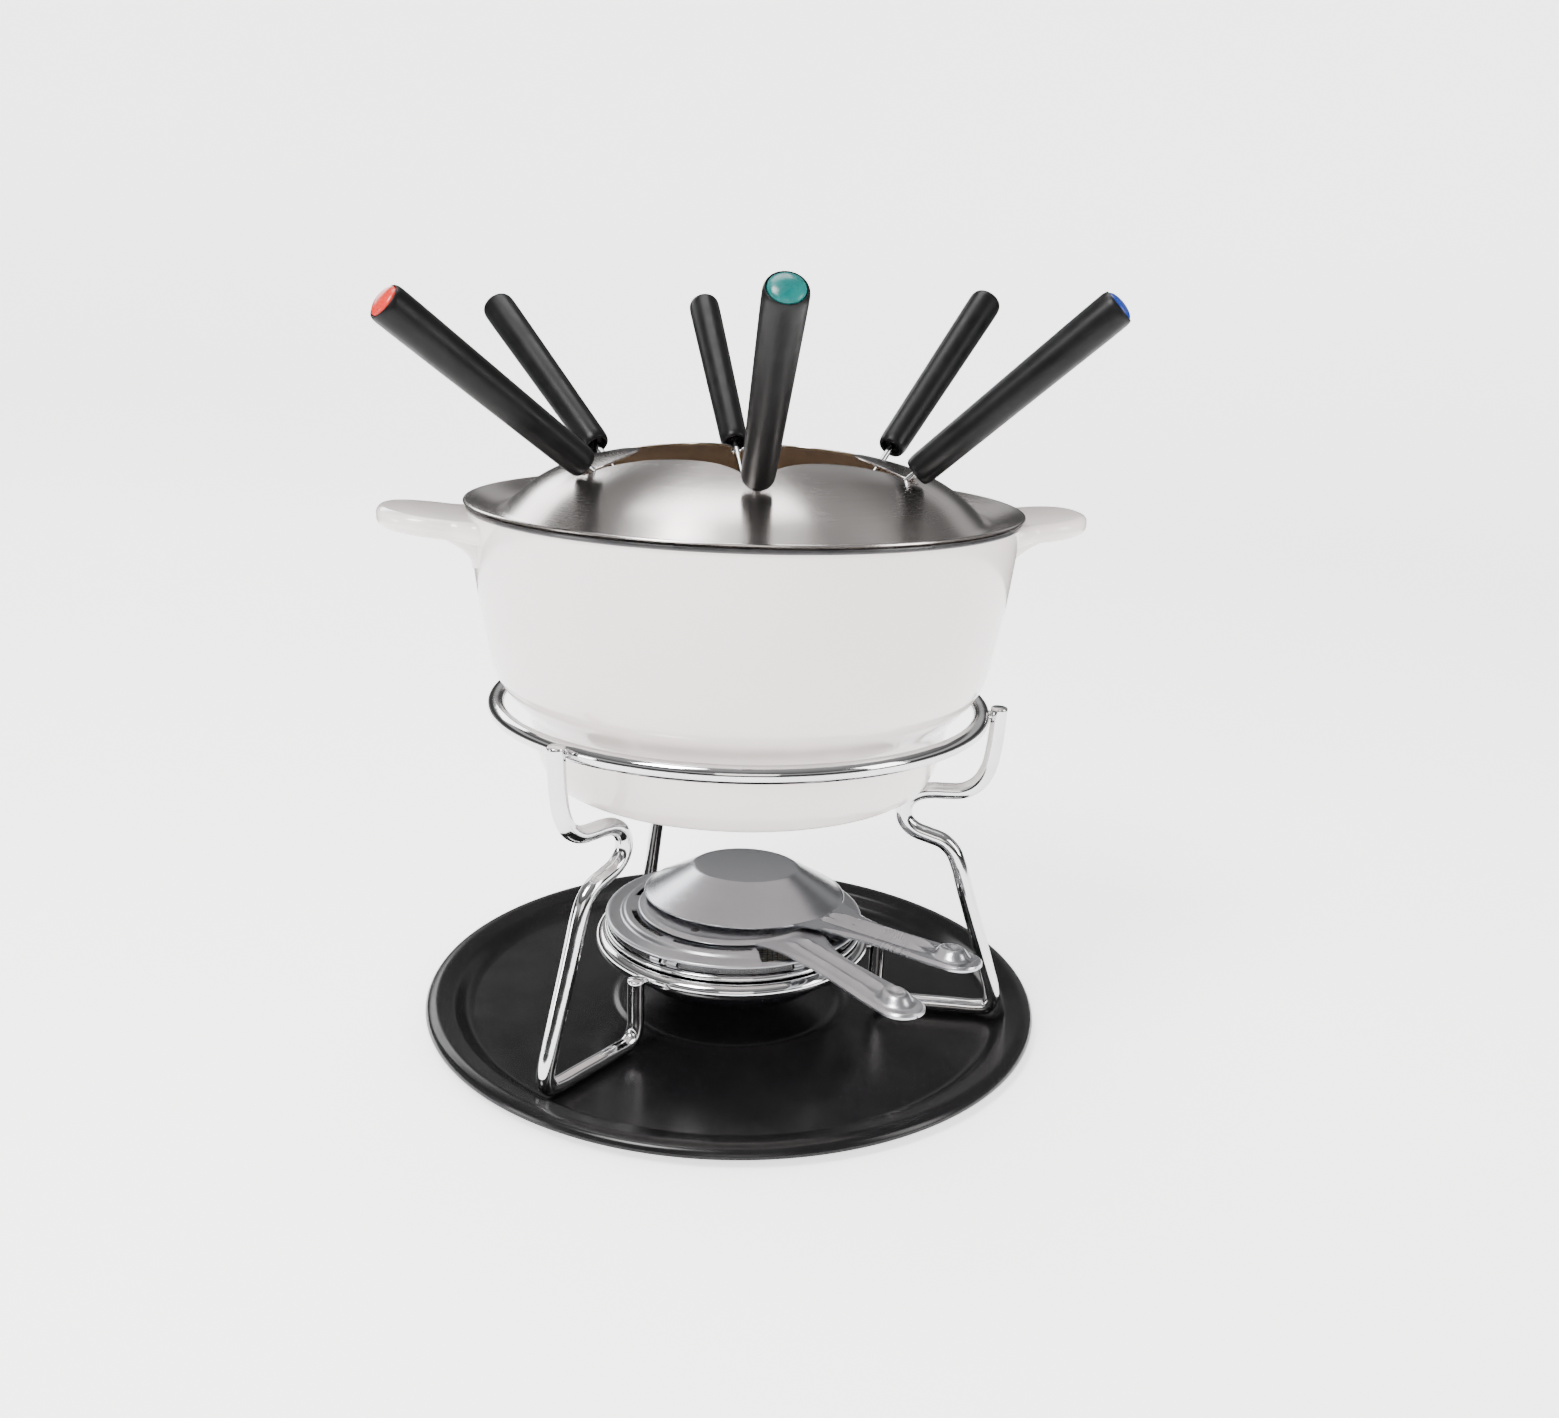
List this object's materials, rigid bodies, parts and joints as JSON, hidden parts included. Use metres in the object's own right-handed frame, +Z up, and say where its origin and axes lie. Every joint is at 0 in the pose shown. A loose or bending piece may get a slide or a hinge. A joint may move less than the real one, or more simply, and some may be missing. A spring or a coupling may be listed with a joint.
{
  "type": "fondue pot set",
  "caption": "Tabletop fondue set: enamelled pot with a splash-guard lid and forks, on a wire stand with a paste burner over a round tray.",
  "frame": {"origin": "centre of the tray's flat underside, on the table", "axes": "+Z up along the axis of the tray, burner, pot and lid; -Y to the front of the set; +X to the right"},
  "size_m": [0.2554, 0.2606, 0.2749],
  "materials": {
    "black_enamel": "satin black",
    "black_lacquer": "gloss black",
    "chrome_wire": "bright",
    "wadding": "felted mineral fibre",
    "steel_gauze": "woven wire",
    "stainless_sheet": "polished satin",
    "stainless_lid": "spun satin",
    "white_enamel": "gloss vitreous enamel over cast metal",
    "black_plastic": "satin",
    "fork_steel": "polished",
    "cap_front": "gloss",
    "cap_front_right": "gloss",
    "cap_rear_right": "gloss",
    "cap_rear": "gloss",
    "cap_rear_left": "gloss",
    "cap_front_left": "gloss"
  },
  "bodies": {
    "tray": {"tray": "black_enamel"},
    "stand": {"pot_ring": "chrome_wire", "burner_ring": "chrome_wire", "leg_front_left": "chrome_wire", "leg_right": "chrome_wire", "leg_rear": "chrome_wire"},
    "burner": {"burner_bowl": "black_lacquer", "burner_rim": "chrome_wire", "fuel_wadding": "wadding", "burner_gauze": "steel_gauze", "gauze_ring": "chrome_wire"},
    "cover": {"burner_cover": "stainless_sheet"},
    "regulator": {"regulator": "stainless_sheet"},
    "snuffer": {"snuffer_cap": "stainless_sheet"},
    "pot": {"pot": "white_enamel"},
    "lid": {"splash_guard_lid": "stainless_lid"},
    "fork_front": {"fork_front_handle": "black_plastic", "fork_front_cap": "cap_front", "fork_front_stem": "fork_steel"},
    "fork_front_right": {"fork_front_right_handle": "black_plastic", "fork_front_right_cap": "cap_front_right", "fork_front_right_stem": "fork_steel"},
    "fork_rear_right": {"fork_rear_right_handle": "black_plastic", "fork_rear_right_cap": "cap_rear_right", "fork_rear_right_stem": "fork_steel"},
    "fork_rear": {"fork_rear_handle": "black_plastic", "fork_rear_cap": "cap_rear", "fork_rear_stem": "fork_steel"},
    "fork_rear_left": {"fork_rear_left_handle": "black_plastic", "fork_rear_left_cap": "cap_rear_left", "fork_rear_left_stem": "fork_steel"},
    "fork_front_left": {"fork_front_left_handle": "black_plastic", "fork_front_left_cap": "cap_front_left", "fork_front_left_stem": "fork_steel"}
  },
  "joints": [
    {"name": "stand_lift", "type": "slide", "parent": "tray", "child": "stand", "axis": [0, 0, 1], "range_m": [0, 0.1]},
    {"name": "burner_lift", "type": "slide", "parent": "stand", "child": "burner", "axis": [0, 0, 1], "range_m": [0, 0.015]},
    {"name": "cover_lift", "type": "slide", "parent": "burner", "child": "cover", "axis": [0, 0, 1], "range_m": [0, 0.008]},
    {"name": "regulator_turn", "type": "hinge", "parent": "cover", "child": "regulator", "pos_m": [0, 0, 0.0395], "axis": [0, 0, 1], "range_deg": [-19, 12]},
    {"name": "snuffer_lift", "type": "slide", "parent": "cover", "child": "snuffer", "axis": [0, 0, 1], "range_m": [0, 0.018]},
    {"name": "pot_lift", "type": "slide", "parent": "stand", "child": "pot", "axis": [0, 0, 1], "range_m": [0, 0.12]},
    {"name": "lid_lift", "type": "slide", "parent": "pot", "child": "lid", "axis": [0, 0, 1], "range_m": [0, 0.05]},
    {"name": "fork_front_draw", "type": "slide", "parent": "lid", "child": "fork_front", "axis": [0.0669, -0.7349, 0.6748], "range_m": [0, 0.09]},
    {"name": "fork_front_right_draw", "type": "slide", "parent": "lid", "child": "fork_front_right", "axis": [0.7114, -0.1914, 0.6762], "range_m": [0, 0.09]},
    {"name": "fork_rear_right_draw", "type": "slide", "parent": "lid", "child": "fork_rear_right", "axis": [0.4837, 0.5616, 0.6713], "range_m": [0, 0.09]},
    {"name": "fork_rear_draw", "type": "slide", "parent": "lid", "child": "fork_rear", "axis": [-0.1878, 0.7465, 0.6384], "range_m": [0, 0.09]},
    {"name": "fork_rear_left_draw", "type": "slide", "parent": "lid", "child": "fork_rear_left", "axis": [-0.5405, 0.5959, 0.594], "range_m": [0, 0.09]},
    {"name": "fork_front_left_draw", "type": "slide", "parent": "lid", "child": "fork_front_left", "axis": [-0.6513, -0.471, 0.595], "range_m": [0, 0.09]}
  ]
}
